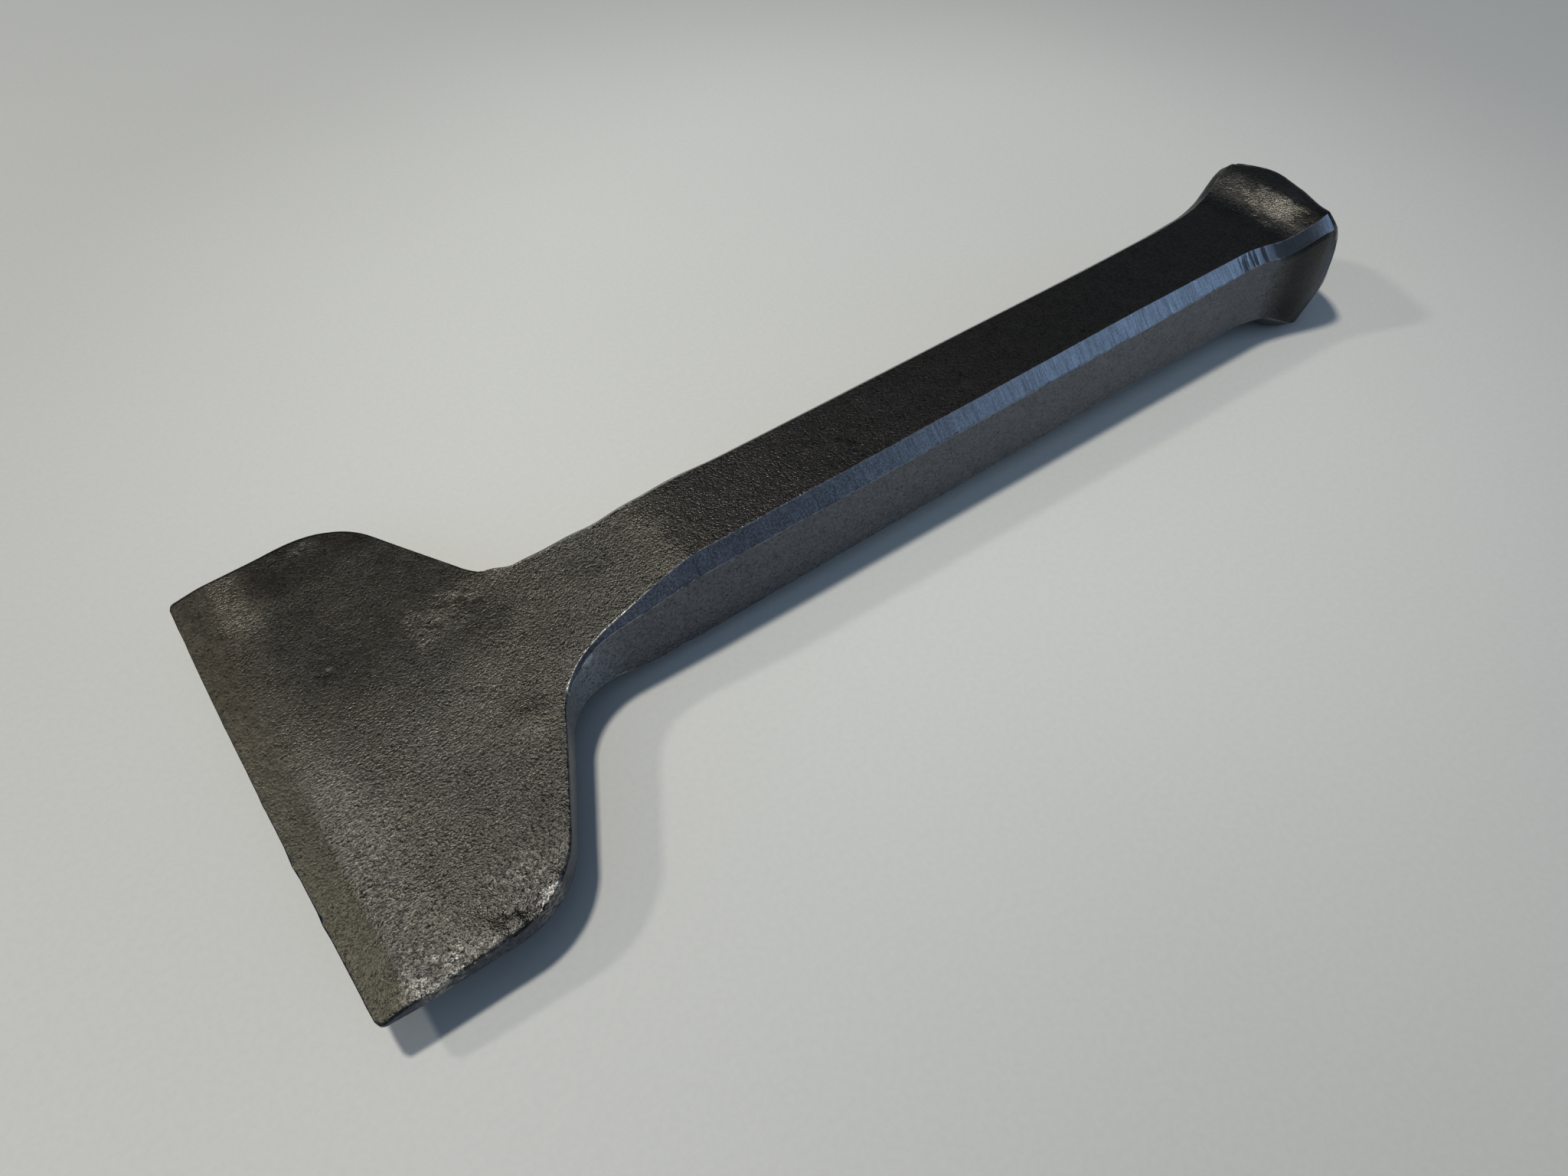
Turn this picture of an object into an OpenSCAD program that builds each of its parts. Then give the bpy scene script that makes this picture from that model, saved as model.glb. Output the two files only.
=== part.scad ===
// Flat chisel, forged and ground from one bar of tool steel.
// It lies as it rests on a bench: on the heel of its shank and the rim of its
// head, with the blade raised. X runs along the tool from the cutting edge to
// the head, Z is up, and the origin is under the middle of the tool.

/* [Blade] */
// Width of the cutting edge
blade_w = 76.2; // [60:0.2:100]
// Straight length of the blade's sides, measured from the edge
side_len = 17; // [12:0.5:26]
// How far the middle of the cutting edge stands out ahead of its corners
edge_crown = 0.4; // [0.1:0.1:1.5]
// Rounding of the two corners of the cutting edge, seen from above
corner_r = 1; // [0.4:0.1:3]
// Thickness left at the cutting edge
edge_t = 0.5; // [0.2:0.1:1]
// Length of the ground bevel behind the edge
bevel_len = 5; // [3:0.5:9]
// Thickness of the blade where the bevel ends
bevel_t = 2.4; // [1.4:0.1:4]
// Thickness of the blade where the ramp up to the shank starts
root_t = 7.8; // [5:0.1:12]
// How quickly the blade thickens towards its root: 1 is a straight wedge
taper_power = 1.6; // [1:0.1:2.5]

/* [Shoulders] */
// Radius of the rounded shoulders
shoulder_r = 14; // [8:0.5:18]
// Angle between the flanks and the tool's axis, in degrees
flank_angle = 62; // [50:1:72]
// Radius of the hollow where each flank runs into the shank
neck_r = 13; // [8:0.5:18]
// How far ahead of that hollow's end the ramp starts
ramp_lead = 7.5; // [3:0.5:14]
// Slope of the ramp from the blade up to the shank, in degrees
ramp_angle = 13; // [9:0.5:20]
// Rounding of the heel, where the ramp meets the shank
heel_r = 25; // [8:1:40]

/* [Shank] */
// Length of the whole tool, from its cutting edge's corners to its crown
tool_len = 210; // [180:1:260]
// Width of the shank across its two upright flats
shank_w = 18.8; // [16:0.2:22]
// Height of the shank across its other two flats
shank_h = 17.5; // [15:0.1:20]
// Width taken off each flat by the ground corner facets
chamfer = 2.5; // [1:0.1:4]

/* [Head] */
// Width of the flared head
head_w = 26; // [23:0.5:30]
// Height of the flared head
head_h = 24; // [21:0.5:28]
// Length over which the shank flares out to the head
flare_len = 19; // [12:0.5:30]
// Radius of the crowned striking face
crown_r = 20; // [18:0.5:36]

/* [Hidden] */
steel = [0.24, 0.235, 0.225];
arc_steps = 12;
sphere_fn = 96;
// Turns the ball's poles away from the tool's flats
ball_turn = [17, 90, 0];
spare = 6;

half_blade = blade_w / 2;
half_w = shank_w / 2;
half_h = shank_h / 2;

// The flank between the two arcs is as long as the drop to the shank needs
drop = half_blade - half_w;
arc_drop = (shoulder_r + neck_r) * (1 - cos(flank_angle));
flank_len = (drop - arc_drop) / sin(flank_angle);
neck_x = side_len + (shoulder_r + neck_r) * sin(flank_angle) + flank_len * cos(flank_angle);

// The ramp runs from the blade's root to the heel
root_x = neck_x - ramp_lead;
heel_x = root_x + (half_h - root_t / 2) / tan(ramp_angle);
heel_cut = heel_r * tan(ramp_angle / 2);

// The crown is part of a ball, and the flare ends where the ball cuts the corner facets
crown_x = tool_len - crown_r;
corner_reach = norm([head_w / 2, head_h / 2 - chamfer]);
flare_end = crown_x + sqrt(crown_r * crown_r - corner_reach * corner_reach);
flare_start = flare_end - flare_len;
rim_x = crown_x + sqrt(crown_r * crown_r - head_h * head_h / 4);

function smooth(t) = t * t * (3 - 2 * t);
function arc(centre, r, from, to) =
    [for (i = [0:arc_steps]) let (a = from + (to - from) * i / arc_steps)
        centre + r * [cos(a), sin(a)]];
// Half sizes along the flare, from the shank's to the head's
function flare(half_shank, half_head) =
    [for (i = [0:arc_steps]) let (t = i / arc_steps)
        [flare_start + flare_len * t, half_shank + (half_head - half_shank) * smooth(t)]];

// Half outline seen from above, from the middle of the edge round to the head
edge_half = half_blade - corner_r;
plan_half = concat(
    [for (i = [0:arc_steps - 1]) let (t = i / arc_steps) [-edge_crown * (1 - t * t), edge_half * t]],
    arc([corner_r, edge_half], corner_r, 180, 90),
    arc([side_len, half_blade - shoulder_r], shoulder_r, 90, 90 - flank_angle),
    arc([neck_x, half_w + neck_r], neck_r, 270 - flank_angle, 270),
    flare(half_w, head_w / 2),
    [[tool_len + spare, head_w / 2]]
);

// Half outline seen from the side, from the edge to the head
side_half = concat(
    [[-edge_crown, edge_t / 2]],
    [for (i = [0:arc_steps]) let (t = i / arc_steps)
        [bevel_len + (root_x - bevel_len) * t, (bevel_t + (root_t - bevel_t) * pow(t, taper_power)) / 2]],
    arc([heel_x + heel_cut, half_h - heel_r], heel_r, 90 + ramp_angle, 90),
    flare(half_h, head_h / 2),
    [[tool_len + spare, head_h / 2]]
);

// Half outline of the corner facets, seen along one of them. It runs clear of the blade
facet_shank = (half_w + half_h - chamfer) / sqrt(2);
facet_head = (head_w / 2 + head_h / 2 - chamfer) / sqrt(2);
facet_half = concat(
    [[-edge_crown - spare, half_blade], [side_len, half_blade], [neck_x - neck_r / 3, facet_shank]],
    flare(facet_shank, facet_head),
    [[tool_len + spare, facet_head]]
);

// The tilt at which the tool rests on its rim and on the lowest point ahead of it
rest_slope = min([for (p = side_half) if (p[0] < flare_start)
    (head_h / 2 - p[1]) / (rim_x - p[0])]);
rest_tilt = atan(rest_slope);
rest_lift = head_h / 2 * cos(rest_tilt) - rim_x * sin(rest_tilt);
front_x = -edge_crown * cos(rest_tilt) - edge_t / 2 * sin(rest_tilt);
back_x = crown_x * cos(rest_tilt) + crown_r;

// Outline of a half list and its mirror image
module outline(half) {
    last = len(half) - 1;
    polygon(concat(half, [for (i = [last:-1:0]) if (half[i][1] > 0) [half[i][0], -half[i][1]]]));
}

// A prism of that outline, long enough to pass right through the tool
module slab(half, turn) {
    rotate([turn, 0, 0])
        linear_extrude(height = 2 * blade_w, center = true)
            outline(half);
}

// All that lies behind the crowned striking face
module crown_envelope() {
    union() {
        translate([-2 * spare, -blade_w, -blade_w])
            cube([flare_end + 2 * spare, 2 * blade_w, 2 * blade_w]);
        translate([crown_x, 0, 0])
            rotate(ball_turn)
                sphere(r = crown_r, $fn = sphere_fn);
    }
}

// The tool along its own axis, with the middle plane of the blade at Z = 0
module chisel_on_axis() {
    intersection() {
        slab(plan_half, 0);
        slab(side_half, 90);
        slab(facet_half, 45);
        slab(facet_half, -45);
        crown_envelope();
    }
}

module forged_chisel() {
    color(steel)
        translate([-(front_x + back_x) / 2, 0, rest_lift])
            rotate([0, -rest_tilt, 0])
                chisel_on_axis();
}

forged_chisel();
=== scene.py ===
import math
import random

import bmesh
import bpy
from mathutils import Matrix, Vector, kdtree


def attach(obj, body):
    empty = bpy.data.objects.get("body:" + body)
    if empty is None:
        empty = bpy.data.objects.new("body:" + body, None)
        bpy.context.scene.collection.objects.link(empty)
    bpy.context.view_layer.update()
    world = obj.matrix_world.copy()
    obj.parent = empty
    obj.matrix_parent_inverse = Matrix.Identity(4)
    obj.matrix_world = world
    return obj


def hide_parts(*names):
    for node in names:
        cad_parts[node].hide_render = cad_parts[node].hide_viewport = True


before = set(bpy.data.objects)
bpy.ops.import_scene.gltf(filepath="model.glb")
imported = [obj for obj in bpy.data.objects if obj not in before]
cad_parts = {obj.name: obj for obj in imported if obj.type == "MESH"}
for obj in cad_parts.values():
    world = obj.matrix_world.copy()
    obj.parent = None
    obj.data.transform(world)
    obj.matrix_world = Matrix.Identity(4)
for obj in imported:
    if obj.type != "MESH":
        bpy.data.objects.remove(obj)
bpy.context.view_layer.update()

mm = 0.001
# Points closer than this count as lying in one line
tiny = 0.001 * mm

# Where the tool's own axes lie: X from the cutting edge to the head, Z through the middle of the blade
rest = {"tilt": 1.31632, "shift": (-104.77211, 0, 7.26459)}


# Small helpers

def deselectAll():
    if bpy.context.object and bpy.context.object.mode != "OBJECT":
        bpy.ops.object.mode_set(mode="OBJECT")
    bpy.ops.object.select_all(action="DESELECT")


def makeActive(piece):
    deselectAll()
    piece.select_set(True)
    bpy.context.view_layer.objects.active = piece


def pick(piece, kind, test):
    # selects the vertices, edges or faces that pass a test, in edit mode
    bpy.ops.mesh.select_all(action="DESELECT")
    bpy.ops.mesh.select_mode(type=kind)
    bm = bmesh.from_edit_mesh(piece.data)
    items = {"VERT": bm.verts, "EDGE": bm.edges, "FACE": bm.faces}[kind]
    chosen = [item for item in items if not item.hide and test(item)]
    for item in chosen:
        item.select_set(True)
    bm.select_flush_mode()
    bmesh.update_edit_mesh(piece.data)
    return len(chosen)


def between(table, x):
    # reads a list of (x, value) pairs, straight between them
    if x <= table[0][0]:
        return table[0][1]
    for (x0, v0), (x1, v1) in zip(table, table[1:]):
        if x <= x1:
            return v0 + (v1 - v0) * (x - x0) / (x1 - x0)
    return table[-1][1]


def smooth(t):
    t = min(max(t, 0), 1)
    return t * t * (3 - 2 * t)


# The forging

forging = {
    "bladeHalf": 38.1, "sideLength": 17, "cornerRadius": 1, "edgeCrown": 0.4, "edgeHalf": 0.25,
    "bevelLength": 5, "bevelHalf": 1.2, "rootHalf": 3.9, "taperPower": 1.6,
    "shoulderRadius": 14, "flankAngle": 62, "neckRadius": 13, "neckX": 48.483,
    "rootX": 40.983, "rampAngle": 13, "halfWidth": 9.4, "halfHeight": 8.75,
    "flareStart": 182.864, "flareEnd": 201.864, "topFlareLate": 7.5,
    "headHalfWidth": 13, "headHalfHeight": 12, "capX": 211, "crownX": 190, "crownRadius": 20,
    "rimRound": 1.1, "rimSegments": 3,
    # pairs of x and how far about it the hammer evened the profile out
    "evened": [(0, 0), (4, 0.9), (7, 1.5), (30, 3), (45, 4), (61, 1.6), (70, 2), (80, 0.1)], "evenSteps": 8,
    # from x, to x and distance between the stations
    "spacing": [(0, 1.2, 0.3), (1.2, 6, 0.6), (6, 17, 1.0), (17, 38, 0.6), (38, 52, 0.8), (52, 70, 1.0),
                (70, 178, 2.4), (178, 192.4, 0.45), (192.4, 200.2, 0.87)],
    # pairs of x and the leg of the corner facets, which is at most a share of the half height
    "legs": [(0, 0.12), (2, 0.2), (17, 0.28), (36, 0.3), (39, 0.5), (42, 0.6), (46, 0.6), (50, 1.0),
             (57, 1.85), (64, 2.35), (91, 2.4), (118, 2.4), (156, 2.55), (182, 2.2), (190, 2.05),
             (194, 2.05), (198, 1.95), (202, 2.4), (212, 2.5)],
    "legShare": 0.5,
    # the first octagon, and how finely the surface is divided
    "startWidth": 76, "startHeight": 2.4, "startLeg": 0.2,
    "faceColumns": 72, "sideColumns": 10, "facetCuts": 2, "flareCuts": 3, "ballCuts": 7, "fineUntil": 36,
    "capRings": [0.88, 0.8, 0.71, 0.61, 0.5, 0.4, 0.3, 0.2, 0.1],
    # the ground facets: where they start, how far they lean, and the ball that they end on
    "facetFrom": 39, "facetLean": 0.3, "facetBall": 19.2,
    # where the facet fades into the side of the flare, and how far below the top that begins
    "fadeFrom": 190.5, "fadeTo": 199.5, "fadeBelow": 0.5,
}


def flare(x, shank, head, late=0.0):
    # late moves the start of the flare towards the rim and makes it steeper
    start = forging["flareStart"] + late
    return shank + (head - shank) * smooth((x - start) / (forging["flareEnd"] - start))


def halfWidth(x):
    s = forging
    turn = math.radians(s["flankAngle"])
    shoulderEnd = s["sideLength"] + s["shoulderRadius"] * math.sin(turn)
    neckStart = s["neckX"] - s["neckRadius"] * math.sin(turn)
    if x < s["cornerRadius"]:
        r = s["cornerRadius"]
        return s["bladeHalf"] - r + math.sqrt(max(r * r - (r - x) ** 2, 0))
    if x < s["sideLength"]:
        return s["bladeHalf"]
    if x < shoulderEnd:
        r = s["shoulderRadius"]
        return s["bladeHalf"] - r + math.sqrt(r * r - (x - s["sideLength"]) ** 2)
    if x < neckStart:
        top = s["bladeHalf"] - s["shoulderRadius"] * (1 - math.cos(turn))
        return top - (x - shoulderEnd) * math.tan(turn)
    if x < s["neckX"]:
        r = s["neckRadius"]
        return s["halfWidth"] + r - math.sqrt(r * r - (s["neckX"] - x) ** 2)
    return flare(x, s["halfWidth"], s["headHalfWidth"])


def rawHeight(x):
    s = forging
    if x < s["bevelLength"]:
        return s["edgeHalf"] + (s["bevelHalf"] - s["edgeHalf"]) * max(x, 0) / s["bevelLength"]
    if x < s["rootX"]:
        t = (x - s["bevelLength"]) / (s["rootX"] - s["bevelLength"])
        return s["bevelHalf"] + (s["rootHalf"] - s["bevelHalf"]) * t ** s["taperPower"]
    ramp = s["rootHalf"] + (x - s["rootX"]) * math.tan(math.radians(s["rampAngle"]))
    return flare(x, min(ramp, s["halfHeight"]), s["headHalfHeight"], s["topFlareLate"])


def halfHeight(x):
    # the hammer leaves no hard lines, so the profile is an average over a short stretch
    reach, steps = between(forging["evened"], x), forging["evenSteps"]
    return sum(rawHeight(x + reach * (2 * i / steps - 1)) for i in range(steps + 1)) / (steps + 1)


def stations():
    places = [0.0]
    for start, end, step in forging["spacing"]:
        count = round((end - start) / step)
        places += [start + (end - start) * (i + 1) / count for i in range(count)]
    return places


def selectOnly(piece, ring, part):
    for v in ring:
        v.select_set(False)
    for v in part:
        v.select_set(True)
    bmesh.update_edit_mesh(piece.data)


def fitRing(piece, x, last):
    # brings the ring of the newest face to the width, height and corner leg that belong at x
    bm = bmesh.from_edit_mesh(piece.data)
    cap = max((f for f in bm.faces if f.select), key=lambda f: len(f.verts))
    ring = list(cap.verts)
    highest = max(v.co.z for v in ring)
    widest = max(v.co.y for v in ring)
    flat = [v for v in ring if abs(v.co.z) > highest - tiny]
    side = [v for v in ring if abs(v.co.y) > widest - tiny]
    flatReach = max(v.co.y for v in flat)
    sideReach = max(v.co.z for v in side)
    w, h = halfWidth(x) * mm, halfHeight(x) * mm
    leg = min(between(forging["legs"], x) * mm, h * forging["legShare"])
    bow = max(0, 1 - x / forging["bevelLength"])
    bow = bow / (1 - last / forging["bevelLength"]) if bow else 0
    middle = (x * mm, 0, 0)
    selectOnly(piece, ring, flat)
    bpy.ops.transform.resize(value=(bow, (w - leg) / flatReach, h / highest), center_override=middle)
    selectOnly(piece, ring, side)
    bpy.ops.transform.resize(value=(bow, w / widest, (h - leg) / sideReach), center_override=middle)
    cap.select_set(True)
    bmesh.update_edit_mesh(piece.data)


def startRing(piece):
    # an upright octagon with the columns that every station keeps
    s = forging
    bpy.ops.mesh.select_mode(type="VERT")
    bpy.ops.mesh.select_all(action="SELECT")
    bpy.ops.transform.resize(value=(1, s["startWidth"], s["startHeight"]), center_override=(0, 0, 0))
    bpy.ops.mesh.bevel(offset=s["startLeg"] * mm, affect="VERTICES", clamp_overlap=False)
    bpy.ops.mesh.delete(type="ONLY_FACE")
    pick(piece, "EDGE", lambda e: abs(e.verts[0].co.z - e.verts[1].co.z) < tiny)
    bpy.ops.mesh.subdivide(number_cuts=s["faceColumns"] - 1)
    pick(piece, "EDGE", lambda e: abs(e.verts[0].co.y - e.verts[1].co.y) < tiny)
    bpy.ops.mesh.subdivide(number_cuts=s["sideColumns"] - 1)
    bpy.ops.mesh.select_mode(type="VERT")
    bpy.ops.mesh.select_all(action="SELECT")
    bpy.ops.mesh.edge_face_add()
    fitRing(piece, 0, 0)
    # the middle of the cutting edge stands out a little
    pick(piece, "VERT", lambda v: abs(v.co.y) < tiny)
    bpy.ops.transform.translate(
        value=(-s["edgeCrown"] * mm, 0, 0), use_proportional_edit=True,
        proportional_edit_falloff="INVERSE_SQUARE", proportional_size=s["bladeHalf"] * mm)
    bpy.ops.mesh.select_all(action="SELECT")


def drawOut():
    # the octagon is drawn out station by station from the cutting edge to the head
    deselectAll()
    bpy.ops.mesh.primitive_plane_add(size=1 * mm, rotation=(0, math.pi / 2, 0))
    piece = bpy.context.object
    piece.name = piece.data.name = "chisel_forging"
    bpy.ops.object.transform_apply(location=True, rotation=True, scale=True)
    bpy.ops.object.mode_set(mode="EDIT")
    startRing(piece)
    places = stations() + [forging["capX"]]
    for last, x in zip(places, places[1:]):
        bpy.ops.mesh.extrude_region_move(TRANSFORM_OT_translate={"value": ((x - last) * mm, 0, 0)})
        fitRing(piece, x, last)
    return piece


def closeEnds(piece):
    # rings across the striking face with a grid in the middle, and a grid on the cutting edge
    s = forging
    reach = 1.0
    for part in s["capRings"]:
        shrink = part / reach
        bpy.ops.mesh.extrude_region_move(TRANSFORM_OT_translate={"value": (0, 0, 0)})
        bpy.ops.transform.resize(value=(1, shrink, shrink), center_override=(s["capX"] * mm, 0, 0))
        reach = part
    bpy.ops.mesh.delete(type="ONLY_FACE")
    pick(piece, "FACE", lambda f: len(f.verts) > 4)
    bpy.ops.mesh.delete(type="ONLY_FACE")
    # each corner facet gets its own strips; its edges grow in height as they lose in width
    mostAlong, leastAcross = 0.02 * mm, 0.01 * mm

    def acrossCorner(e):
        a, b = (v.co for v in e.verts)
        wider, higher = abs(b.y) - abs(a.y), abs(b.z) - abs(a.z)
        across = min(abs(wider), abs(higher)) > leastAcross and wider * higher < 0
        return across and abs(b.x - a.x) < mostAlong

    pick(piece, "EDGE", acrossCorner)
    bpy.ops.mesh.subdivide(number_cuts=s["facetCuts"])
    columns = s["faceColumns"] + 2 * (s["facetCuts"] + 1)
    halfway = s["capX"] / 2 * mm
    for ahead in (False, True):
        pick(piece, "EDGE", lambda e: e.is_boundary and (e.verts[0].co.x < halfway) == ahead)
        bpy.ops.mesh.fill_grid(span=columns)
    bpy.ops.mesh.select_all(action="SELECT")
    bpy.ops.mesh.normals_make_consistent(inside=False)


def crownHead(piece):
    # drops the flat end onto a ball, as the struck face is crowned, and rounds the rim
    s = forging
    # how near a point has to be to a plane, a facet and the ball to count as lying on it, in mm
    toPlane, toFacet, toBall = 0.01, 0.02, 0.05
    middle = Vector((s["crownX"] * mm, 0, 0))
    bpy.ops.object.mode_set(mode="OBJECT")
    crown = piece.vertex_groups.new(name="crown")
    crown.add([v.index for v in piece.data.vertices if v.co.x > (s["capX"] - toPlane) * mm], 1, "REPLACE")
    deselectAll()
    bpy.ops.mesh.primitive_ico_sphere_add(
        subdivisions=s["ballCuts"], radius=s["crownRadius"] * mm, location=middle)
    ball = bpy.context.object
    makeActive(piece)
    drop = piece.modifiers.new("drop", "SHRINKWRAP")
    drop.wrap_method = "PROJECT"
    drop.use_project_x = True
    drop.use_positive_direction = False
    drop.use_negative_direction = True
    drop.target = ball
    drop.vertex_group = "crown"
    bpy.ops.object.modifier_apply(modifier="drop")
    bpy.data.objects.remove(ball)
    bpy.ops.object.mode_set(mode="EDIT")
    w, h = s["headHalfWidth"], s["headHalfHeight"]
    corner = w + h - s["legs"][-1][1]

    def onRim(v):
        y, z = abs(v.co.y) / mm, abs(v.co.z) / mm
        outside = y > w - toPlane or z > h - toPlane or y + z > corner - toFacet
        return outside and abs((v.co - middle).length / mm - s["crownRadius"]) < toBall

    rim = pick(piece, "EDGE", lambda e: onRim(e.verts[0]) and onRim(e.verts[1]))
    bpy.ops.mesh.bevel(offset=s["rimRound"] * mm, segments=s["rimSegments"], profile=0.5, clamp_overlap=False)
    # the long edges between the last station and the rim
    lastX = stations()[-1] * mm

    def behindLast(e):
        a, b = (v.co.x - lastX for v in e.verts)
        return (abs(a) < tiny) != (abs(b) < tiny) and max(a, b) > tiny

    pick(piece, "EDGE", behindLast)
    bpy.ops.mesh.subdivide(number_cuts=s["flareCuts"])
    print("rim edges:", rim)


def isFacet(face):
    # the ground corner facets: they start at the neck and run to the rim
    s = forging
    n, place = face.normal, face.calc_center_median() / mm
    onCrown = place.x > s["crownX"] and (place - Vector((s["crownX"], 0, 0))).length > s["facetBall"]
    leans = abs(n.y) > s["facetLean"] and abs(n.z) > s["facetLean"]
    return leans and place.x > s["facetFrom"] and not onCrown


def setOnBench(piece):
    # from the tool's own axes to where it rests
    piece.rotation_euler = (0, -math.radians(rest["tilt"]), 0)
    piece.location = [v * mm for v in rest["shift"]]
    makeActive(piece)
    bpy.ops.object.transform_apply(location=True, rotation=True, scale=True)


def push(piece, place, move, reach, falloff="SMOOTH"):
    # pulls the surface about a place, as with a soft brush
    bpy.ops.mesh.select_all(action="DESELECT")
    bm = bmesh.from_edit_mesh(piece.data)
    target = Vector(place) * mm
    nearest = min((v for v in bm.verts if not v.hide), key=lambda v: (v.co - target).length_squared)
    nearest.select_set(True)
    bmesh.update_edit_mesh(piece.data)
    bpy.ops.transform.translate(value=Vector(move) * mm, use_proportional_edit=True,
                                proportional_edit_falloff=falloff, proportional_size=reach * mm)


def isolate(piece, test):
    # hides every face that fails the test
    bpy.ops.mesh.reveal(select=False)
    pick(piece, "FACE", test)
    bpy.ops.mesh.hide(unselected=True)
    bpy.ops.mesh.select_mode(type="VERT")


# Place, lift and reach of what the hammer left on top, in mm on the tool's own axes
hammerMarks = [
    # the near shoulder slopes off into a crease, with small ridges about it
    ((22, -37.8, 2.4), -0.75, 9.0), ((27, -33.5, 2.5), -0.3, 4.5),
    ((16.7, -34.9, 2.2), -0.2, 0.8), ((18, -35.1, 2.2), -0.3, 0.8),
    ((19.3, -35.5, 2.3), -0.35, 0.8), ((20.6, -36.3, 2.3), -0.35, 0.8),
    ((21.8, -37.1, 2.3), -0.3, 0.8), ((18.6, -36.8, 2.3), 0.35, 1.5),
    ((16, -36.6, 2.2), 0.2, 1.5), ((20.3, -34.7, 2.3), 0.22, 0.9),
    ((22.6, -35.2, 2.4), 0.3, 1.1), ((24.6, -34.4, 2.4), 0.25, 1.2),
    ((21.5, -32.6, 2.4), 0.12, 1.2), ((18.5, -31.6, 2.2), -0.12, 1.6),
    # the near side of the blade is rolled over a little
    ((7, -38.1, 1.4), -0.5, 4.6), ((12, -38.1, 1.7), -0.35, 4.2),
    ((5.6, -35.2, 1.3), 0.1, 1.0), ((7.6, -36.2, 1.5), 0.1, 0.9), ((9.8, -35.4, 1.6), 0.1, 1.1),
    # broad unevenness
    ((13, -29, 1.9), 0.1, 6.0), ((10, -20, 1.6), -0.12, 9.0),
    ((24, -12, 2.3), -0.15, 12.0), ((20, 16, 2.1), -0.18, 12.0),
    ((34, 2, 3.2), 0.2, 9.0), ((12, 30, 1.7), 0.15, 7.0),
    ((26, 30, 2.4), 0.14, 6.0), ((42, -6, 4.4), 0.12, 6.0),
    ((52, 5, 6.4), -0.12, 7.0), ((33, -13.5, 3.0), 0.2, 4.0),
    # the pit, and the rough place below the far neck
    ((14.5, 10.8, 1.9), -0.26, 0.6), ((15.2, 11.2, 1.9), 0.04, 0.6),
    ((31.7, 11.0, 3), 0.06, 1.0), ((34.3, 12.6, 3.2), 0.08, 1.1),
    ((30.1, 8.7, 2.8), -0.06, 0.9), ((27.2, 7.5, 2.6), 0.03, 1.1),
    ((33, 9.6, 3), -0.07, 0.9), ((36, 11, 3.3), 0.05, 1.2),
    # the far corner
    ((20.4, 35.4, 2.1), -0.12, 1.0), ((17.8, 35.4, 2), -0.1, 0.8), ((15.3, 35.8, 1.9), -0.12, 0.8),
    # the shank and the head
    ((66, 3, 8.7), 0.1, 6.0), ((98, -2, 8.75), -0.08, 12.0),
    ((132, 2, 8.75), 0.06, 14.0), ((160, -2, 8.75), -0.06, 12.0),
    ((199.6, -2, 11.6), 0.25, 5.0), ((193.5, 5, 9.4), -0.15, 6.0), ((199, 8, 11.4), 0.1, 3.0),
]
# Place, push and reach on the sides and the head
sideMarks = [
    # the lip where the far flank was upset against the shank
    ((40.9, 14.2, 1.5), (0.3, 0.8, 0), 1.8),
    # the far side of the neck is fuller, and narrows again before the heel
    ((41.5, 11.6, 3), (0, 0.7, 0.3), 3.0), ((46, 10, 3), (0, 1.25, 0), 6.0),
    ((51.5, 9.5, 4), (0, 0.75, 0), 6.0), ((66, 9.4, 7), (0, -0.15, 0.1), 6.5),
    ((71, 9.4, 7), (0, 0.3, 0.15), 9.0),
    # below the near side of the neck the heel is fuller, and so is the lower near corner of the head
    ((53.5, -9.2, -6), (0, 0, -0.8), 7.0), ((197, -12, -9.5), (0, -0.9, -0.55), 7.0),
    ((193.5, -9.5, -9.5), (0, -0.4, -0.5), 4.0), ((202, -12, -10.5), (-1.1, 0.2, 0), 4.5),
    ((203.5, -12.9, -4), (0.8, 0, 0), 4.5),
    # the crown is flatter towards the near side of the rim
    ((205.8, -2.5, 11.3), (-1.2, 0, -0.5), 9.0), ((204, -8, 11.3), (-0.8, 0, -0.35), 6.0),
]
# Nicks and crumbs on the cutting edge: place along it, push and reach
edgeMarks = [
    (-7, 0.12, 0.7), (-13.2, -0.2, 0.6), (-21.7, 0.25, 0.7), (-22.8, -0.18, 0.6), (4, 0.08, 1.4),
    (12, -0.06, 1.0), (19, 0.06, 1.6), (-31, 0.12, 0.9), (-35, -0.08, 1.0), (30, 0.08, 2.0), (-3, -0.06, 1.0),
]
edgeLine = {"crown": 0.4, "half": 38}
# Grooves where the grinder chattered at the end of the facets: place along the tool and depth
chatter = [(180.8, 0.12), (182.3, 0.20), (183.6, 0.28), (184.9, 0.22), (186.3, 0.18), (187.9, 0.12)]
chatterHalf = 0.3
# The underside is known only from its outline: the same hand, other places
underside = {
    "seed": 7, "count": 16, "x": (6, 60), "across": (-0.8, 0.8), "push": (-0.12, 0.3), "reach": (3, 9),
}
# On the far side of the flare the corner facet runs out and comes back at the rim
runOut = {"share": 0.2, "from": 174, "inOver": 12, "until": 205, "outOver": 5}


def sharpenFarCorner(piece):
    bm = bmesh.from_edit_mesh(piece.data)
    for v in bm.verts:
        x, y, z = (c / mm for c in v.co)
        share = runOut["share"] * smooth((x - runOut["from"]) / runOut["inOver"])
        share *= smooth((runOut["until"] - x) / runOut["outOver"])
        if share > 0 and y > 0 and z > 0 and any(f.material_index == 1 for f in v.link_faces):
            leg = between(forging["legs"], x)
            part = min(max((halfHeight(x) - z) / leg, 0), 1)
            v.co.y += leg * share * (1 - part) * mm
            v.co.z += leg * share * part * mm
    bmesh.update_edit_mesh(piece.data)


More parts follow.
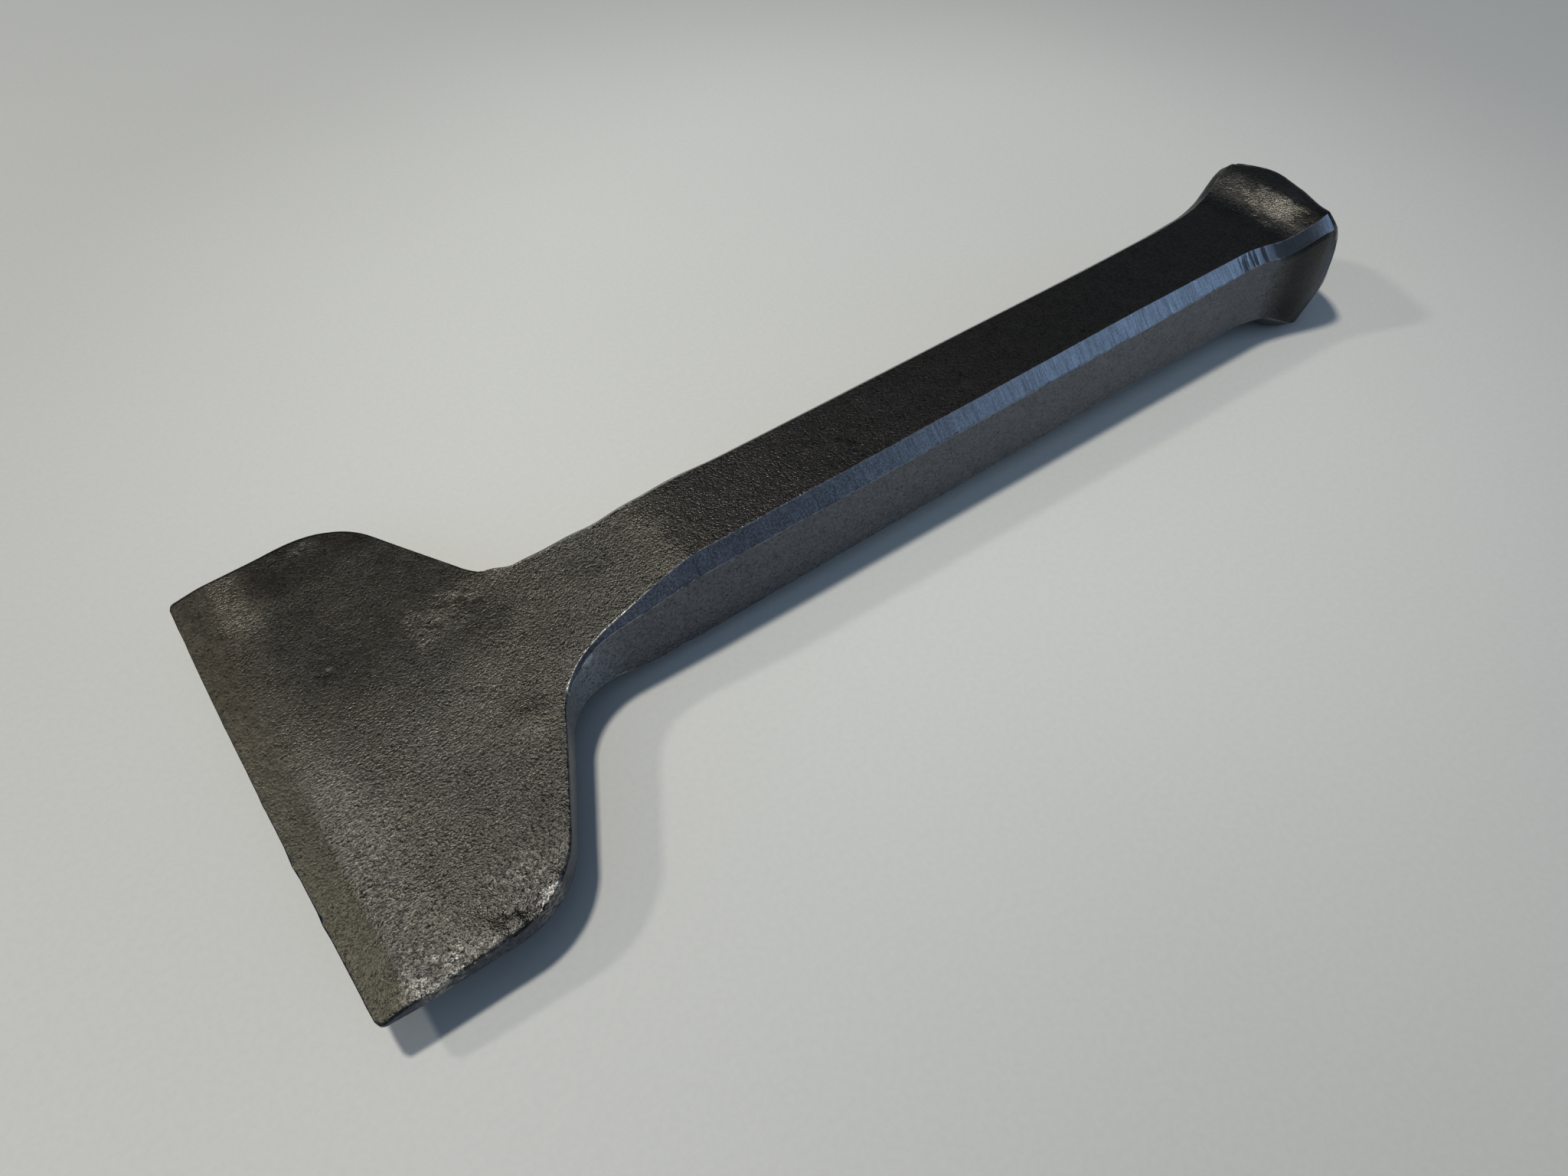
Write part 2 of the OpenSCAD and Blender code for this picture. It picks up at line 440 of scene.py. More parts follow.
def wearIn(piece):
    isolate(piece, lambda f: f.normal.z > 0.5)
    for place, lift, reach in hammerMarks:
        push(piece, place, (0, 0, lift), reach)
    bpy.ops.mesh.reveal(select=False)
    bpy.ops.mesh.select_mode(type="VERT")
    for y, move, reach in edgeMarks:
        x = -edgeLine["crown"] * (1 - (y / edgeLine["half"]) ** 2)
        push(piece, (x, y, 0), (move, 0, 0), reach)
    for place, move, reach in sideMarks:
        push(piece, place, move, reach)
    sharpenFarCorner(piece)
    for x, depth in chatter:
        pick(piece, "VERT", lambda v: abs(v.co.x / mm - x) < chatterHalf and v.co.y * v.co.z < 0
             and all(f.material_index == 1 for f in v.link_faces))
        bpy.ops.transform.shrink_fatten(value=-depth * mm)
    dice = random.Random(underside["seed"])
    isolate(piece, lambda f: f.normal.z < -0.5)
    for number in range(underside["count"]):
        x = dice.uniform(*underside["x"])
        y = dice.uniform(*underside["across"]) * halfWidth(x)
        drop = dice.uniform(*underside["push"])
        push(piece, (x, y, -halfHeight(x)), (0, 0, drop), dice.uniform(*underside["reach"]))
    bpy.ops.mesh.reveal(select=False)


# Name, size of the lumps and height of the unevenness of the skin, and the points that it is kept to
unevenness = [("hammer waves", 14, 0.07, ""), ("scale", 3.2, 0.045, "skin"), ("grain", 1.1, 0.035, "skin")]


def roughen(piece, name, size, height, group):
    texture = bpy.data.textures.new(name, "CLOUDS")
    texture.noise_scale = size * mm
    texture.noise_depth = 1
    rough = piece.modifiers.new(name, "DISPLACE")
    rough.texture = texture
    rough.texture_coords = "LOCAL"
    rough.strength = height * mm
    rough.mid_level = 0.5
    rough.vertex_group = group
    bpy.ops.object.modifier_apply(modifier=name)


def markEdgeDistance(piece):
    # each point's distance from the nearest hard edge, in mm, for the wear along edges
    mesh = piece.data
    step = 0.3 * mm
    places = []
    for edge in mesh.edges:
        if edge.use_edge_sharp:
            a, b = (mesh.vertices[i].co for i in edge.vertices)
            steps = max(1, round((b - a).length / step))
            places += [a.lerp(b, i / steps) for i in range(steps)]
    tree = kdtree.KDTree(len(places))
    for i, place in enumerate(places):
        tree.insert(place, i)
    tree.balance()
    layer = mesh.attributes.new("edgeDistance", "FLOAT", "POINT")
    layer.data.foreach_set("value", [tree.find(v.co)[2] / mm for v in mesh.vertices])


def markUpright(piece):
    # 1 on the upright flats of the shank and the sides of the blade, 0 on the rest and on the head
    mesh = piece.data
    steepest, steepOver, until, endOver = 0.75, 0.35, 197, 10
    layer = mesh.attributes.new("upright", "FLOAT", "POINT")
    layer.data.foreach_set("value", [
        smooth((steepest - abs(v.normal.z)) / steepOver) * smooth((until - v.co.x / mm) / endOver)
        for v in mesh.vertices])


chisel = drawOut()
closeEnds(chisel)
crownHead(chisel)
pick(chisel, "FACE", lambda f: abs(f.normal.z) > 0.5 and f.calc_center_median().x < forging["fineUntil"] * mm)
bpy.ops.mesh.subdivide(number_cuts=1)
print("forging drawn out")
# the first slot is for the skin and the second for the ground facets
for slot in range(2):
    bpy.ops.object.material_slot_add()
pick(chisel, "FACE", isFacet)
chisel.active_material_index = 1
bpy.ops.object.material_slot_assign()
pick(chisel, "EDGE", lambda e: len({f.material_index for f in e.link_faces}) == 2)
bpy.ops.mesh.mark_sharp()
# towards the head the facet fades into the side of the flare
pick(chisel, "EDGE", lambda e: not e.smooth and all(
    forging["fadeFrom"] < v.co.x / mm < forging["fadeTo"]
    and abs(v.co.z) / mm < halfHeight(v.co.x / mm) - forging["fadeBelow"] for v in e.verts))
bpy.ops.mesh.mark_sharp(clear=True)
wearIn(chisel)
bpy.ops.object.mode_set(mode="OBJECT")
facetPoints = {i for f in chisel.data.polygons if f.material_index == 1 for i in f.vertices}
skin = chisel.vertex_groups.new(name="skin")
skin.add([v.index for v in chisel.data.vertices if v.index not in facetPoints], 1, "REPLACE")
makeActive(chisel)
for settings in unevenness:
    roughen(chisel, *settings)
bpy.ops.object.shade_smooth()
markEdgeDistance(chisel)
markUpright(chisel)
chisel.vertex_groups.clear()
print("forging:", len(chisel.data.vertices), "points,", len(chisel.data.polygons), "faces")
setOnBench(chisel)
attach(chisel, "root")
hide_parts("forged_chisel")


# Finishes

def put(tree, kind, **settings):
    node = tree.nodes.new("ShaderNode" + kind)
    for name, value in settings.items():
        setattr(node, name, value)
    return node


def wire(tree, value, socket):
    # a link if the value is a socket, and a plain setting if it isn't
    if isinstance(value, bpy.types.NodeSocket):
        tree.links.new(value, socket)
    elif isinstance(value, (tuple, list)) and socket.type == "RGBA":
        socket.default_value = (*value, 1)
    else:
        socket.default_value = value


def calc(tree, operation, a, b=None):
    node = put(tree, "Math", operation=operation)
    wire(tree, a, node.inputs[0])
    if b is not None:
        wire(tree, b, node.inputs[1])
    return node.outputs[0]


def times(tree, value, *factors):
    for factor in factors:
        value = calc(tree, "MULTIPLY", value, factor)
    return value


def span(tree, value, low, high, bottom=0.0, top=1.0):
    # soft step between two levels
    node = put(tree, "MapRange", interpolation_type="SMOOTHSTEP")
    settings = {"Value": value, "From Min": low, "From Max": high, "To Min": bottom, "To Max": top}
    for name, amount in settings.items():
        wire(tree, amount, node.inputs[name])
    return node.outputs[0]


def band(tree, value, low, high, soft):
    # full between two levels, and gone softly outside them
    return times(tree, span(tree, value, low - soft, low + soft), span(tree, value, high + soft, high - soft))


def region(tree, axes, limits):
    # the product of what the limits say for each axis: two levels make a soft step from 0 to 1,
    # four a step between its last two, and three a band between the first two, as soft as the third
    mask = None
    for axis, levels in limits.items():
        part = (band if len(levels) == 3 else span)(tree, axes[axis], *levels)
        mask = part if mask is None else times(tree, mask, part)
    return mask


def reader(tree, axes, look):
    # gives the region that a name in the settings stands for
    return lambda name: region(tree, axes, look[name])


def mixed(tree, node, factor, first, second, start, output):
    for index, amount in ((0, factor), (start, first), (start + 1, second)):
        wire(tree, amount, node.inputs[index])
    return node.outputs[output]


def blendColour(tree, factor, first, second, mode="MIX"):
    return mixed(tree, put(tree, "Mix", data_type="RGBA", blend_type=mode), factor, first, second, 6, 2)


def blendValue(tree, factor, first, second):
    return mixed(tree, put(tree, "Mix", data_type="FLOAT"), factor, first, second, 2, 0)


def scaledBy(tree, vector, factors):
    node = put(tree, "VectorMath", operation="MULTIPLY")
    wire(tree, vector, node.inputs[0])
    wire(tree, factors, node.inputs[1])
    return node.outputs[0]


def distanceTo(tree, vector, place):
    node = put(tree, "VectorMath", operation="DISTANCE")
    wire(tree, vector, node.inputs[0])
    wire(tree, place, node.inputs[1])
    return node.outputs["Value"]


def joined(tree, *parts):
    node = put(tree, "CombineXYZ")
    for part, socket in zip(parts, node.inputs):
        wire(tree, part, socket)
    return node.outputs[0]


def axesOf(tree, vector):
    node = put(tree, "SeparateXYZ")
    wire(tree, vector, node.inputs[0])
    return dict(zip("xyz", node.outputs))


def attribute(tree, name):
    return put(tree, "Attribute", attribute_name=name).outputs["Fac"]


def cloud(tree, vector, size, detail=2.0, roughness=0.5, stretch=None):
    # noise whose lumps are about size across
    if stretch:
        vector = scaledBy(tree, vector, stretch)
    node = put(tree, "TexNoise")
    frequency = calc(tree, "DIVIDE", 1.0, size) if isinstance(size, bpy.types.NodeSocket) else 1 / size
    settings = {"Vector": vector, "Scale": frequency, "Detail": detail, "Roughness": roughness}
    for name, amount in settings.items():
        wire(tree, amount, node.inputs[name])
    return node.outputs["Fac"]


def newGroup(name, inputs, outputs):
    # a node group that takes a vector and some values, and gives values
    tree = bpy.data.node_groups.new(name, "ShaderNodeTree")
    tree.interface.new_socket("Vector", in_out="INPUT", socket_type="NodeSocketVector")
    for label, value in inputs.items():
        kind = "NodeSocketVector" if value is None else "NodeSocketFloat"
        socket = tree.interface.new_socket(label, in_out="INPUT", socket_type=kind)
        if value is not None:
            socket.default_value = value
    for label in outputs:
        tree.interface.new_socket(label, in_out="OUTPUT", socket_type="NodeSocketFloat")
    inside, outside = tree.nodes.new("NodeGroupInput"), tree.nodes.new("NodeGroupOutput")
    return tree, inside.outputs, outside.inputs


def useGroup(tree, group, **values):
    node = put(tree, "Group", node_tree=group)
    for name, value in values.items():
        wire(tree, value, node.inputs[name])
    return node.outputs


# Lumps, crests and cells of the forge scale: their sizes as shares of the grain's, and their heights
grainShape = {
    "wide": 5.0, "cells": 1.3, "crest": 1.5, "lumpHeight": 0.35, "crestDepth": 2.0, "wideHeight": 0.5,
}


def makeGrain():
    # the fine pebbled skin of forge scale: small lumps, and single grains that differ in tone
    shape = grainShape
    tree, given, result = newGroup("forge grain", {"Size": 0.4}, ["Height", "Tone", "Speck"])
    vector, size = given["Vector"], given["Size"]
    fine = cloud(tree, vector, size, 2, 0.7)
    wide = cloud(tree, vector, times(tree, size, shape["wide"]), 3, 0.6)
    cells = put(tree, "TexVoronoi", feature="F1")
    wire(tree, vector, cells.inputs["Vector"])
    wire(tree, calc(tree, "DIVIDE", shape["cells"], size), cells.inputs["Scale"])
    lumps = calc(tree, "SUBTRACT", 1.0, cells.outputs["Distance"])
    folds = cloud(tree, vector, times(tree, size, shape["crest"]), 2, 0.6)
    crest = calc(tree, "ABSOLUTE", calc(tree, "SUBTRACT", folds, 0.5))
    height = calc(tree, "ADD", fine, times(tree, lumps, shape["lumpHeight"]))
    height = calc(tree, "SUBTRACT", height, times(tree, crest, shape["crestDepth"]))
    height = calc(tree, "ADD", height, times(tree, wide, shape["wideHeight"]))
    wire(tree, height, result["Height"])
    wire(tree, wide, result["Tone"])
    chance = put(tree, "SeparateColor")
    wire(tree, cells.outputs["Color"], chance.inputs[0])
    wire(tree, chance.outputs[0], result["Speck"])
    return tree


def makeWrinkles():
    # short raised wrinkles, drawn out along the tool by Along
    steepness = 5.0
    tree, given, result = newGroup("wrinkles", {"Size": 0.8, "Along": 1.0}, ["Height"])
    stretched = scaledBy(tree, given["Vector"], joined(tree, given["Along"], 1, 1))
    value = cloud(tree, stretched, given["Size"], 3, 0.6)
    crest = calc(tree, "ABSOLUTE", calc(tree, "SUBTRACT", value, 0.5))
    wire(tree, calc(tree, "SUBTRACT", 1.0, times(tree, crest, steepness)), result["Height"])
    return tree


def makePatches():
    # broad blotches with soft, broken borders; the noise lies between a lowest level and that plus a range
    lowest, reach = 0.2, 0.6
    tree, given, result = newGroup("patches", {"Size": 8.0, "Cover": 0.5, "Softness": 0.1}, ["Mask"])
    value = cloud(tree, given["Vector"], given["Size"], 5, 0.62)
    level = calc(tree, "SUBTRACT", 1.0, given["Cover"])
    level = calc(tree, "ADD", times(tree, level, reach), lowest)
    low, high = (calc(tree, way, level, given["Softness"]) for way in ("SUBTRACT", "ADD"))
    wire(tree, span(tree, value, low, high), result["Mask"])
    return tree


def makeWornEdge():
    # rubbed metal along hard edges, broken up by noise
    tree, given, result = newGroup("worn edge", {"Distance": 1.0, "Width": 0.4}, ["Mask"])
    broken = cloud(tree, given["Vector"], 1.3, 4, 0.65)
    width = times(tree, given["Width"], span(tree, broken, 0.3, 0.7, 0.15, 1.6))
    near = calc(tree, "SUBTRACT", 1.0, calc(tree, "DIVIDE", given["Distance"], width))
    wire(tree, span(tree, near, 0.0, 0.8), result["Mask"])
    return tree


def makeGroundLines():
    # the fine parallel lines of a grinding belt; they run along Y and Z and repeat along X
    fineShare, wideShare, wideSize = 0.65, 0.35, 3.0
    tree, given, result = newGroup("ground lines", {"Spacing": 0.3}, ["Height", "Tone"])
    size = given["Spacing"]
    fine = cloud(tree, given["Vector"], size, 3, 0.7, (1, 0.06, 0.06))
    wide = cloud(tree, given["Vector"], times(tree, size, wideSize), 3, 0.6, (1, 0.12, 0.12))
    tone = calc(tree, "ADD", times(tree, fine, fineShare), times(tree, wide, wideShare))
    wire(tree, fine, result["Height"])
    wire(tree, span(tree, tone, 0.32, 0.68), result["Tone"])
    return tree


def makeSpot():
    # a soft ragged spot about a place
    tree, given, result = newGroup("spot", {"Place": None, "Reach": 5.0}, ["Mask"])
    raggedness = span(tree, cloud(tree, given["Vector"], 2.2, 4, 0.6), 0.3, 0.7, 0.65, 1.4)
    ragged = times(tree, distanceTo(tree, given["Vector"], given["Place"]), raggedness)
    wire(tree, span(tree, calc(tree, "DIVIDE", ragged, given["Reach"]), 1.0, 0.25), result["Mask"])
    return tree


forgeGrain, wrinkles, patches = makeGrain(), makeWrinkles(), makePatches()
wornEdge, groundLines, spot = makeWornEdge(), makeGroundLines(), makeSpot()


def newMaterial(name):
    material = bpy.data.materials.new(name)
    material.use_nodes = True
    tree = material.node_tree
    return material, tree, tree.nodes["Principled BSDF"]


def toolVector(tree):
    # object coordinates turned back to the tool's own axes, in mm
    spin = math.radians(rest["tilt"])
    shift = Matrix.Rotation(spin, 3, "Y") @ Vector(rest["shift"])
    node = put(tree, "Mapping", vector_type="POINT")
    wire(tree, put(tree, "TexCoord").outputs["Object"], node.inputs["Vector"])
    node.inputs["Location"].default_value = -shift
    node.inputs["Rotation"].default_value = (0, spin, 0)
    node.inputs["Scale"].default_value = (1 / mm, 1 / mm, 1 / mm)
    return node.outputs["Vector"]


def addBump(tree, height, shader):
    bump = put(tree, "Bump")
    bump.inputs["Strength"].default_value = 1.0
    bump.inputs["Distance"].default_value = mm
    wire(tree, height, bump.inputs["Height"])
    wire(tree, bump.outputs["Normal"], shader.inputs["Normal"])


# Places are in mm on the tool's own axes, and reliefs are heights in mm. Where an entry is a dictionary of
# axes it says where something shows, as region reads it
skinLook = {
    "blade": (0.0335, 0.0315, 0.0258), "cool": (0.027, 0.0272, 0.0252), "tan": (0.0475, 0.041, 0.029),
    # painted shade: the tone for the near shoulder's top darkens it and the near foot of the ramp
    "paintedShadeTone": (0.0255, 0.0245, 0.0215), "farCorner": (0.057, 0.051, 0.039),
    # painted sheen: the heel tone lightens the end of the ramp where it meets the shank
    "bevel": (0.0225, 0.0212, 0.0161), "heel": (0.041, 0.039, 0.033), "dark": (0.038, 0.036, 0.033),
    "stain": (0.016, 0.015, 0.014),
    # painted reflection: the wall tones are lighter and bluish for the floor and window light the upright
    # walls reflect, and the neck's glint is painted
    "bladeWallPaintedReflection": (0.025, 0.032, 0.048), "upright": (0.061, 0.067, 0.078), "neckWallPaintedReflection": (0.10, 0.118, 0.145),
    # painted reflection: the side of the head is painted dark in the middle and bluish along the rim
    "neckGlint": (0.26, 0.33, 0.43), "headSidePaintedDarkReflection": (0.012, 0.013, 0.014), "rimSidePaintedReflection": (0.019, 0.036, 0.064),
    # painted shade: the rim-top tone darkens the top by the near rim of the head; the burnished tone beside
    # it is partly a painted highlight
    "rimTopPaintedShade": (0.018, 0.017, 0.0145), "burnishedAndHighlight": (0.068, 0.064, 0.053), "worn": (0.24, 0.23, 0.205),
    # the ridge tone is a painted glint on the rubbed ridge by the dent
    "rubbed": (0.27, 0.255, 0.225), "ridgeWearAndGlint": (0.42, 0.40, 0.36),
    "struck": (0.20, 0.19, 0.17), "struckDark": (0.060, 0.055, 0.048),
    "metallic": 0.95, "roughness": (0.35, 0.38),
    # broad and small blotches of the cooler tone
    "bigPatches": {"Size": 16.0, "Cover": 0.5, "Softness": 0.16}, "bigShare": 0.5,
    "smallPatches": {"Size": 3.5, "Cover": 0.45, "Softness": 0.14}, "smallShare": 0.12,
    # washes of colour, one over the other: the colour, its share, and where. The bevel's line bends at
    # the near corner, and the line where the dark scale of the shank starts is ragged
    "washes": [
        # painted shade: the next two washes darken the top of the near shoulder and the near foot of the ramp
        ("paintedShadeTone", 0.85, {"x": (15, 26), "y": (-8, -26)}),
        ("paintedShadeTone", 0.75, {"x": (38, 47, 4), "y": (-10, -3, 3)}),
        ("tan", 1.0, {"x": (11, 1), "y": (-22, 34, 0.05, 1)}),
        ("farCorner", 1.0, {"y": (20, 32), "x": (14, 7)}),
        ("bevel", 1.0, {"bevelLine": (4.6, 4.1), "y": (8, -14, 0.25, 1)}),
        # painted sheen: the heel wash lightens the end of the ramp where it meets the shank
        ("heel", 1.0, {"x": (57, 63)}),
        ("dark", 1.0, {"scaleLine": (69.8, 71.4)}),
    ],
    "bevelBend": (-34, -37.5, 0, 1), "scaleNoise": (2.0, 4, 0.7), "scaleReach": 4.0,
    # where the painted reflection on the upright walls changes tone, and the painted glint at the neck
    "uprightFrom": {"x": (29, 38)}, "neckWallAt": {"x": (38, 47, 5)},
    "glint": ((43.6, -12.3, 3.6), 2.2),
    # where the painted dark reflection on the side of the head and its painted bluish rim lie
    "headSideAt": {"x": (188, 195.5), "z": (9.9, 8.9)}, "rimSideFrom": {"x": (200.5, 204.5)},
    # the painted shade on the top by the near rim of the head
    "rimTopPaintedShadeAt": {"y": (-3, -8), "x": (190, 194), "z": (9.9, 10.5)}, "rimTopPaintedShadeShare": 0.8,
    # the struck face lies on the crown's ball: hammered bright in its middle, darker towards the rim
    "crownAt": {"fromCrown": (19, 19.6), "x": (194, 197)},
    "scuffs": {"Size": 4.0, "Cover": 0.55, "Softness": 0.08}, "scuffsAt": {"x": (200, 208, 0.2, 1)},
    "crownDents": (3.5, 2, 0.45), "crownDentDepth": 0.5,
    # rubbed edges at the near neck, the burnished spot on the flare, drawn out along x, which is partly a
    # painted highlight and fades on the near side, and the stains
    "wornWidth": 0.22, "wornAt": {"x": (64, 52, 0.3, 0.85), "y": (6, -6, 0.3, 1)},
    "burnishAndHighlight": ((296.1, -1.6, 5.5), 7.0), "burnishAndHighlightScale": (1.5, 0.8, 0.5),
    "burnishAndHighlightAt": {"y": (-10.5, -6, 0.3, 1)}, "stainShare": 0.5,
    "stains": [
        ((94.6, -1.2, 8.75), 1.5), ((95.3, -2.6, 8.75), 1.2),
        ((95, -4.4, 8.75), 1.0), ((95.7, -6, 8.75), 1.3),
    ],
    # the grain and its height on the bevel, on the blade and behind it
    "grainSize": 0.40, "bevelGrain": {"x": (3.5, 5, 0.5, 1)}, "bladeGrain": {"y": (-34, 14, 0.1105, 0.0425)},
    "shankGrain": {"x": (68, 150, 0.0935, 0.051)}, "shankGrainFrom": {"x": (34, 44)},
    "crevice": (0.15, 0.95, 0.4, 1.65), "speck": (0.8, 1.2),
    # streaks along the tool behind the bevel
    "streaks": {"Size": 0.42, "Along": 0.28}, "streakRelief": 0.05, "streakShare": 0.18,
    "streakCrest": (0.55, 0.95),
    "streaksFrom": {"x": (4.3, 6.3)}, "streaksTo": {"x": (13, 8)},
    "streaksNear": {"y": (6, -22, 0.2, 1)}, "streaksFar": {"y": (14, 30, 0, 0.5)},
    # wrinkles: x from, x to, y from, y to of their places, and how far they are rubbed there
    "wrinkles": {"Size": 0.8, "Along": 0.75}, "wrinkleRelief": 0.115, "wrinkleLeast": 0.25,
    "wrinkleSoft": 1.4, "wrinkleCrest": (0.45, 0.9), "wrinkleNoise": (3.0, 3, 0.6),
    "wrinkleBroken": (0.35, 0.55),
    "wrinkled": [
        (5.2, 11.5, -39, -34.4, 0.8), (11, 17, -39, -36, 0.2), (18, 27, -39, -30, 0.12),
        (21, 25.5, -38.5, -35.6, 0.8), (26, 38, 6, 14, 0.06), (14, 22, 34, 36.5, 0.1),
    ],
    # fine strokes across the tool where the flare is burnished, on the spot that is partly a painted
    # highlight
    "strokes": {"Size": 0.42, "Along": 0.35}, "strokeRelief": 0.05, "strokeCrest": (0.5, 1, 0, 0.17),
    # the rubbed ridge by the dent, with a painted glint on it
    "ridgeWearAndGlintSpot": ((23.4, -36.6, 2.6), 2.2), "ridgeWearAndGlintCrest": (0.2, 0.7, 0.2, 0.5),
}


def spotAt(tree, vector, place, reach):
    return useGroup(tree, spot, Vector=vector, Place=place, Reach=reach)["Mask"]


def skinParts(tree):
    # the coordinates, noises and masks that the colour and the relief share
    look = skinLook
    vector = toolVector(tree)
    axes = axesOf(tree, vector)
    scaleNoise = times(tree, cloud(tree, vector, *look["scaleNoise"]), look["scaleReach"])
    axes["bevelLine"] = calc(tree, "ADD", axes["x"], span(tree, axes["y"], *look["bevelBend"]))
    axes["scaleLine"] = calc(tree, "ADD", axes["x"], scaleNoise)
    axes["fromCrown"] = distanceTo(tree, vector, (forging["crownX"], 0, 0))
    at = reader(tree, axes, look)
    # the burnished spot on the flare, which is partly a painted highlight
    burnishAndHighlight = spotAt(tree, scaledBy(tree, vector, look["burnishAndHighlightScale"]), *look["burnishAndHighlight"])
    return {
        "vector": vector, "axes": axes, "at": at,
        "grain": useGroup(tree, forgeGrain, Vector=vector, Size=look["grainSize"]),
        "small": useGroup(tree, patches, Vector=vector, **look["smallPatches"])["Mask"],
        "wrinkle": useGroup(tree, wrinkles, Vector=vector, **look["wrinkles"])["Height"],
        "onCrown": at("crownAt"),
        "burnishAndHighlight": times(tree, burnishAndHighlight, at("burnishAndHighlightAt")),
    }


def skinColour(tree, parts):
    look, vector, axes, at = skinLook, parts["vector"], parts["axes"], parts["at"]
    big = useGroup(tree, patches, Vector=vector, **look["bigPatches"])["Mask"]
    colour = blendColour(tree, times(tree, big, look["bigShare"]), look["blade"], look["cool"])
    colour = blendColour(tree, times(tree, parts["small"], look["smallShare"]), colour, look["cool"])
    for name, share, where in look["washes"]:
        colour = blendColour(tree, times(tree, region(tree, axes, where), share), colour, look[name])
    # painted reflection: the upright walls are painted lighter and bluish for the floor and window light they
    # reflect, and a painted glint lies on the near one at the neck
    upright = attribute(tree, "upright")
    wall = blendColour(tree, at("uprightFrom"), look["bladeWallPaintedReflection"], look["upright"])
    wall = blendColour(tree, at("neckWallAt"), wall, look["neckWallPaintedReflection"])
    colour = blendColour(tree, upright, colour, wall)
    glint = times(tree, spotAt(tree, vector, *look["glint"]), upright)
    colour = blendColour(tree, glint, colour, look["neckGlint"])
    # painted reflection: the sides of the head are painted dark brown in the middle, for the dark room they
    # reflect, and bluish along the rim, for the window light on its curl
    headSidePaintedDarkReflection = blendColour(tree, at("rimSideFrom"), look["headSidePaintedDarkReflection"], look["rimSidePaintedReflection"])
    colour = blendColour(tree, at("headSideAt"), colour, headSidePaintedDarkReflection)
    scuffs = useGroup(tree, patches, Vector=vector, **look["scuffs"])["Mask"]
    scuffs = times(tree, scuffs, at("scuffsAt"))
    struck = blendColour(tree, scuffs, look["struckDark"], look["struck"])
    colour = blendColour(tree, parts["onCrown"], colour, struck)
    distance = attribute(tree, "edgeDistance")
    worn = useGroup(tree, wornEdge, Vector=vector, Distance=distance, Width=look["wornWidth"])["Mask"]
    colour = blendColour(tree, times(tree, worn, at("wornAt")), colour, look["worn"])
    # painted shade: the top by the near rim of the head is darkened
    rimTopPaintedShade = times(tree, at("rimTopPaintedShadeAt"), look["rimTopPaintedShadeShare"])
    colour = blendColour(tree, rimTopPaintedShade, colour, look["rimTopPaintedShade"])
    # the burnished spot on the flare, partly a painted highlight
    colour = blendColour(tree, parts["burnishAndHighlight"], colour, look["burnishedAndHighlight"])
    for place, reach in look["stains"]:
        stain = times(tree, spotAt(tree, vector, place, reach), look["stainShare"])
        colour = blendColour(tree, stain, colour, look["stain"])
    return colour


def skinRelief(tree, parts):
    # the height of the skin, and how far its crests are rubbed
    look, vector, axes, at = skinLook, parts["vector"], parts["axes"], parts["at"]
    wrinkle = parts["wrinkle"]

    def raisedBy(height, *factors):
        return calc(tree, "ADD", height, times(tree, *factors))

    relief = blendValue(tree, at("shankGrainFrom"), at("bladeGrain"), at("shankGrain"))
    height = times(tree, at("bevelGrain"), relief, parts["grain"]["Height"])
    dents = cloud(tree, vector, *look["crownDents"])
    height = raisedBy(height, parts["onCrown"], look["crownDentDepth"], dents)
    sides = calc(tree, "MAXIMUM", at("streaksNear"), at("streaksFar"))
    zone = times(tree, at("streaksFrom"), at("streaksTo"), sides)
    streak = useGroup(tree, wrinkles, Vector=vector, **look["streaks"])["Height"]
    height = raisedBy(height, zone, look["streakRelief"], streak)
    rubbed = times(tree, zone, look["streakShare"], span(tree, streak, *look["streakCrest"]))
    broken = span(tree, cloud(tree, vector, *look["wrinkleNoise"]), *look["wrinkleBroken"])
    soft, least = look["wrinkleSoft"], look["wrinkleLeast"]
    for x0, x1, y0, y1, wear in look["wrinkled"]:
        zone = times(tree, region(tree, axes, {"x": (x0, x1, soft), "y": (y0, y1, soft)}), broken)
        height = raisedBy(height, zone, (least + (1 - least) * wear) * look["wrinkleRelief"], wrinkle)
        crests = times(tree, zone, wear, span(tree, wrinkle, *look["wrinkleCrest"]))
        rubbed = calc(tree, "MAXIMUM", rubbed, crests)
    across = joined(tree, axes["y"], axes["x"], axes["z"])
    strokes = useGroup(tree, wrinkles, Vector=across, **look["strokes"])["Height"]
    strokes = times(tree, strokes, parts["burnishAndHighlight"])
    height = raisedBy(height, strokes, look["strokeRelief"])
    rubbed = calc(tree, "MAXIMUM", rubbed, span(tree, strokes, *look["strokeCrest"]))
    return height, rubbed


